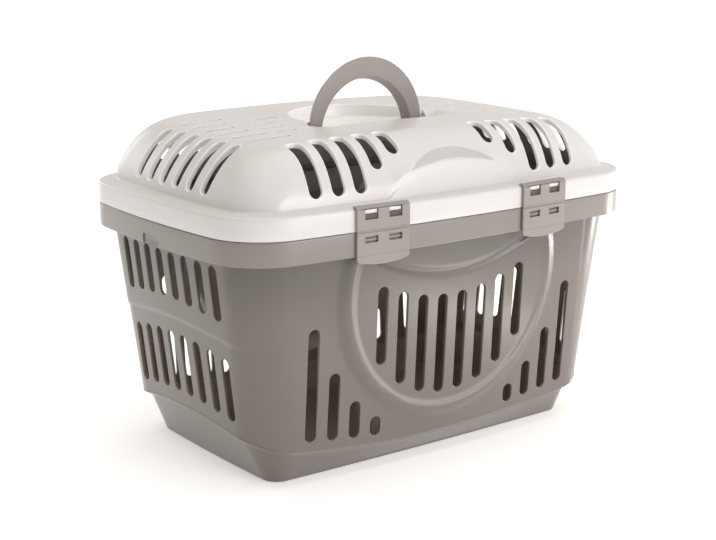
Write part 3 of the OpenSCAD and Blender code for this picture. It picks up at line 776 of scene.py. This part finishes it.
# The slots in the dome have deep rims: the wall is thicker round them
rows = np.concatenate([np.linspace(1.0, DS[8], 40), np.linspace(DS[8], DS[-1], 14)[1:]])
for n, (lo, hi) in enumerate([((s * 103 - 54.5, t * 122 - 36, 258), (s * 103 + 54.5, t * 122 + 36, 312)) for s in (-1, 1) for t in (-1, 1)]
                             + [((s * 203 - 26, -67, 258), (s * 203 + 26, 67, 312)) for s in (-1, 1)]):
    rimmed = loft_obj("rimmed", [dome_ring(t, 1.2) for t in rows], (LID, CUT))
    boolean(rimmed, loft_obj("hollow", [dome_ring(t, 3.7 if n < 4 else 5.0) for t in rows], (LID, CUT)), "DIFFERENCE")
    boolean(rimmed, block("part", lo, hi, 0, 0, (LID, CUT)), "INTERSECT")
    boolean(lid, rimmed, "UNION")
boolean(lid, merged(cuts, "lid_cuts", (LID, CUT)), "DIFFERENCE")
keep_normals(lid, LID_SKIN, LID_CUT_PAINTED_LIGHT)
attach(lid, "lid_body")
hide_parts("lid")


# ---------------------------------------------------------------- handle
def round_poly(pts, r, n=4):
    """Closed polygon with its corners rounded."""
    pts = np.asarray(pts, float)
    out = []
    for i in range(len(pts)):
        a, b, c = pts[i - 1], pts[i], pts[(i + 1) % len(pts)]
        rr = r[i] if isinstance(r, (list, tuple)) else r
        u, v = (a - b) / np.linalg.norm(a - b), (c - b) / np.linalg.norm(c - b)
        half = math.acos(np.clip(u @ v, -1, 1)) / 2
        t = min(rr / math.tan(half), 0.45 * min(np.linalg.norm(a - b), np.linalg.norm(c - b)))
        p, q = b + u * t, b + v * t
        for k in range(n + 1):
            w = k / n
            out.append((1 - w) ** 2 * p + 2 * w * (1 - w) * b + w * w * q)
    return np.array(out)


def handle_rings():
    rings = []
    for tau in np.linspace(0, 1, 132):
        to = math.radians(0.4 + 179.2 * tau)
        ti = math.radians(8.4 + 163.2 * tau)
        o = np.array([68 * math.cos(to), 300 + 68 * math.sin(to)])
        i = np.array([55 * math.cos(ti), 292.5 + 55.55 * math.sin(ti)])
        t = np.linalg.norm(o - i)
        d = (o - i) / t
        sec = round_poly([(0, -5), (t, -5), (t - 7.6, 8), (-3.4, 8)], [1.1, 1.1, 2.2, 2.2], 5)
        rings.append(np.column_stack([i[0] + sec[:, 0] * d[0], sec[:, 1], i[1] + sec[:, 0] * d[1]]))

    def tucked(ring, k):
        c = ring.mean(0)
        q = c + (ring - c) * (1 - 0.14 * k * k)
        q[:, 2] = 300.6 - 0.0 * k
        q[:, 2] += (1 - k) * (ring[:, 2] - 300.6)
        return q
    return [tucked(rings[0], k) for k in (1, 0.6)] + rings + [tucked(rings[-1], k) for k in (0.6, 1)]


handle = loft_obj("handle_arch", handle_rings(), (HANDLE,))
parts = [handle]
for s in (-1, 1):
    prof = [(0.2, 56.2), (4.4, 56.2), (4.9, 56.6), (5.0, 57.0), (5.0, 57.6), (4.9, 58.0), (4.4, 58.3), (3.0, 58.5), (3.0, 73.8), (2.6, 74.4), (0.2, 74.5)]
    parts.append(turned("pin", prof, 40, lambda x, z, d: np.column_stack([s * d, 3 + x, 305 + z]), (HANDLE,)))
handle = join(parts, "handle_arch")
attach(handle, "handle_body")
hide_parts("handle")


# ---------------------------------------------------------------- clips
def prism(name, poly, x0, x1, axis, mats):
    """A polygon pushed along X (points are y, z) or along Y (points are x, z)."""
    n = len(poly)
    make = (lambda t, p: (t, p[0], p[1])) if axis == "x" else (lambda t, p: (p[0], t, p[1]))
    v = [make(x0, p) for p in poly] + [make(x1, p) for p in poly]
    f = [tuple(range(n)), tuple(range(2 * n - 1, n - 1, -1))] + [(i, (i + 1) % n, n + (i + 1) % n, n + i) for i in range(n)]
    ob = mesh_obj(name, v, f, mats)
    bm = bmesh.new()
    bm.from_mesh(ob.data)
    bmesh.ops.recalc_face_normals(bm, faces=bm.faces)
    bm.to_mesh(ob.data)
    bm.free()
    return ob


def soften(ob, width, seg=2):
    m = ob.modifiers.new("v", "BEVEL")
    m.width, m.segments, m.limit_method, m.angle_limit = width * S, seg, "ANGLE", math.radians(32)
    m.use_clamp_overlap = True
    apply_mods(ob)
    ob.data.polygons.foreach_set("use_smooth", [True] * len(ob.data.polygons))
    ob.data.set_sharp_from_angle(angle=math.radians(40))
    m = ob.modifiers.new("n", "WEIGHTED_NORMAL")
    m.keep_sharp, m.weight = True, 90
    apply_mods(ob)


def hook(name):
    turn = np.linspace(0, math.pi / 2, 8)
    outer = [(-152.69 - 4.0 * math.cos(a), 252.5 + 4.0 * math.sin(a)) for a in turn]
    inner = [(-152.69 - 1.6 * math.cos(a), 252.5 + 2.45 * math.sin(a)) for a in turn[::-1]]
    poly = [(-154.29, 234.8), (-155.55, 234.8), (-156.69, 235.95)] + outer + [(-149.69, 256.5), (-149.69, 254.95)] + inner
    ob = prism(name, poly, -28, 28, "x", (CLIP, CLIP))
    for dx in (-WIN_X, WIN_X):
        boolean(ob, block("w", (dx - 6.95, -160, 244.6), (dx + 6.95, -150, 254.2), 0, 0, (CLIP, CLIP)), "DIFFERENCE")
    soften(ob, 0.35)
    # Painted shade: dark blocks fill the lower half of each window, where the gap behind the clip lies in shade.
    shade_tongues = [block("t", (dx - 6.8, -154.95, 243.2), (dx + 5.9, -153.85, 249.4), 0.25, 2, (CLIP_WINDOW_PAINTED_SHADE,)) for dx in (-WIN_X, WIN_X)]
    return join([ob] + shade_tongues, name)


def flap(name):
    arc = [(x, 314 - math.sqrt(110 ** 2 - x * x)) for x in np.linspace(-25.5, 25.5, 33)]
    left = [(-28 + 2.5 * (1 - math.cos(a)), 210.4 - 3.2 * math.sin(a)) for a in np.linspace(0, math.radians(80), 6)]
    poly = [(28, 233.5), (-28, 233.5)] + left + arc + [(-x, z) for x, z in left[::-1]]
    ob = prism(name, poly, FY - 2.4, FY, "y", (CLIP, CLIP))
    for dx in (-WIN_X, WIN_X):
        boolean(ob, block("w", (dx - 6.95, -160, 224.2), (dx + 6.95, -150, 230), 0, 0, (CLIP, CLIP)), "DIFFERENCE")
    groove = prism("g", [(-156.69 - 0.5, 213.1 + 1.0), (-156.69 - 0.5, 213.1 - 1.0), (-156.69 + 0.5, 213.1)], -31, 31, "x", (CLIP, CLIP))
    boolean(ob, groove, "DIFFERENCE")
    v = prism("g", [(-157.3, 232.2), (-157.3, 234.0), (-155.5, 234.0)], -31, 31, "x", (CLIP, CLIP))
    boolean(ob, v, "DIFFERENCE")
    soften(ob, 0.35)
    return ob


def clip_point(u, v, x, back):
    """A point of a clip's own frame in the part: front clips lie along the rim's bow, rear ones stay square."""
    if back:
        return x - u, -v
    s = x / 2514.0
    c = math.sqrt(1 - s * s)
    w = v - FY
    return x + u * c - w * s, x * x / 5028.0 - B - 0.6 + u * s + w * c


def place_clip(ob, x, back):
    co = np.array([v.co for v in ob.data.vertices]) / S
    co[:, 0], co[:, 1] = clip_point(co[:, 0].copy(), co[:, 1].copy(), x, back)
    ob.data.vertices.foreach_set("co", (co * S).ravel())
    ob.data.update()


for back in (False, True):
    for side, x in (("left", -CLIP_X), ("right", CLIP_X)):
        base = f"clip_{'rear' if back else 'front'}_{side}"
        lower = "tub_body" if back else f"{side}_flap_body"
        h, f = hook(base + "_hook_leaf"), flap(base + "_flap_leaf")
        web = block(base + "_film", (-27.6, -155.84, 233.2), (27.6, -155.14, 235.1), 0.15, 2, (CLIP,))
        m = web.modifiers.new("s", "SUBSURF")
        m.subdivision_type, m.levels, m.render_levels = "SIMPLE", 2, 2
        apply_mods(web)
        for ob in (h, f, web):
            place_clip(ob, x, back)
        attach(h, "lid_body")
        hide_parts(base + "_hook")
        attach(f, lower)
        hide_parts(base + "_flap")
        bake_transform(web)

# Catches on the tub and bars on the lid, seen through the clips' windows
catches, bars = [], []
for back in (False, True):
    deep = 3.05 if back else 2.4
    for cx in (-CLIP_X, CLIP_X):
        for dx in (-WIN_X, WIN_X):
            c = prism("c", [(FY + deep, 225.2), (FY - 0.9, 225.5), (FY - 0.9, 227.0), (FY + 0.25, 228.6), (FY + deep, 228.6)], dx - 6.3, dx + 6.3, "x", (TUB,))
            soften(c, 0.25)
            b = block("b", (dx - 6.3, FY - 1.25, 250.4), (dx + 6.3, FY + deep, 253.9), 0.3, 2, (LID,))
            for ob, to in ((c, catches), (b, bars)):
                place_clip(ob, cx, back)
                to.append(ob)
catches, bars = join(catches, "tub_catches"), join(bars, "lid_bars")
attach(catches, "tub_body")
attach(bars, "lid_body")

# ---------------------------------------------------------------- stage
white = bpy.data.materials.new("floor")
white.use_nodes = True
bs = white.node_tree.nodes["Principled BSDF"]
bs.inputs["Base Color"].default_value = (0.9, 0.9, 0.9, 1)
bs.inputs["Roughness"].default_value = 0.9
bs.inputs["Specular IOR Level"].default_value = 0.1
bs.inputs["Emission Color"].default_value = (1, 0.985, 0.97, 1)
tree = white.node_tree
where, size, glow = tree.nodes.new("ShaderNodeTexCoord"), tree.nodes.new("ShaderNodeVectorMath"), tree.nodes.new("ShaderNodeMapRange")
size.operation = "LENGTH"
tree.links.new(where.outputs["Object"], size.inputs[0])
tree.links.new(size.outputs["Value"], glow.inputs["Value"])
glow.interpolation_type = "SMOOTHSTEP"
for k, v in (("From Min", 0.5), ("From Max", 2.2), ("To Min", 0.40), ("To Max", 0.50)):
    glow.inputs[k].default_value = v
tree.links.new(glow.outputs["Result"], bs.inputs["Emission Strength"])
floor = mesh_obj("floor", [(-30000, -30000, 0), (30000, -30000, 0), (30000, 30000, 0), (-30000, 30000, 0)], [(0, 1, 2, 3)], (white,))

world = bpy.data.worlds.new("world")
bpy.context.scene.world = world
world.use_nodes = True
world.node_tree.nodes["Background"].inputs["Color"].default_value = (1.0, 0.968, 0.930, 1)
sky, part, fade = (world.node_tree.nodes.new(k) for k in ("ShaderNodeTexCoord", "ShaderNodeSeparateXYZ", "ShaderNodeMapRange"))
world.node_tree.links.new(sky.outputs["Generated"], part.inputs[0])
world.node_tree.links.new(part.outputs["X"], fade.inputs["Value"])
for k, v in (("From Min", -1.0), ("From Max", 1.0), ("To Min", 0.43), ("To Max", 0.85)):
    fade.inputs[k].default_value = v
world.node_tree.links.new(fade.outputs["Result"], world.node_tree.nodes["Background"].inputs["Strength"])


def area(name, loc, aim, size, power, colour=(1, 1, 1)):
    d = bpy.data.lights.new(name, "AREA")
    d.shape, d.size, d.size_y, d.energy, d.color = "RECTANGLE", size[0], size[1], power, colour
    o = bpy.data.objects.new(name, d)
    bpy.context.scene.collection.objects.link(o)
    o.location = loc
    o.rotation_mode = "QUATERNION"
    o.rotation_quaternion = (Vector(aim) - Vector(loc)).to_track_quat("-Z", "Y")
    return o


area("key", (0.9, -2.8, 0.75), (0, 0, 0.2), (1.6, 1.1), 29.5, (0.97, 0.99, 1.03))
area("top", (0.0, 0.1, 2.4), (0, 0, 0.2), (2.6, 2.2), 22, (1.0, 0.975, 0.94))
area("back", (-0.5, 2.8, 0.9), (0, 0, 0.2), (1.6, 1.1), 9, (1.0, 0.98, 0.95))
for o in (area("right_low", (0.85, -0.25, 0.10), (0.12, -0.13, 0.17), (0.10, 0.20), 1.4, (1.0, 0.95, 0.88)),
          area("front_low", (0.24, -0.385, 0.02), (-0.085, -0.138, 0.075), (0.16, 0.03), 0.09, (1.0, 0.95, 0.88))):
    o.visible_camera = False

cam = bpy.data.objects.new("camera", bpy.data.cameras.new("camera"))
bpy.context.scene.collection.objects.link(cam)
cam.data.sensor_width = 36.0
cam.data.lens = 1456.353 * 36.0 / 716.0
cam.data.clip_start, cam.data.clip_end = 0.05, 200
cam.location = (-0.85619, -1.13207, 0.49237)
cam.rotation_mode = "QUATERNION"
cam.rotation_quaternion = (Vector((-0.00753, 0, 0.15578)) - cam.location).to_track_quat("-Z", "Y")
bpy.context.scene.camera = cam
bpy.context.scene.view_settings.view_transform = "Standard"

bpy.data.materials.remove(CUT)
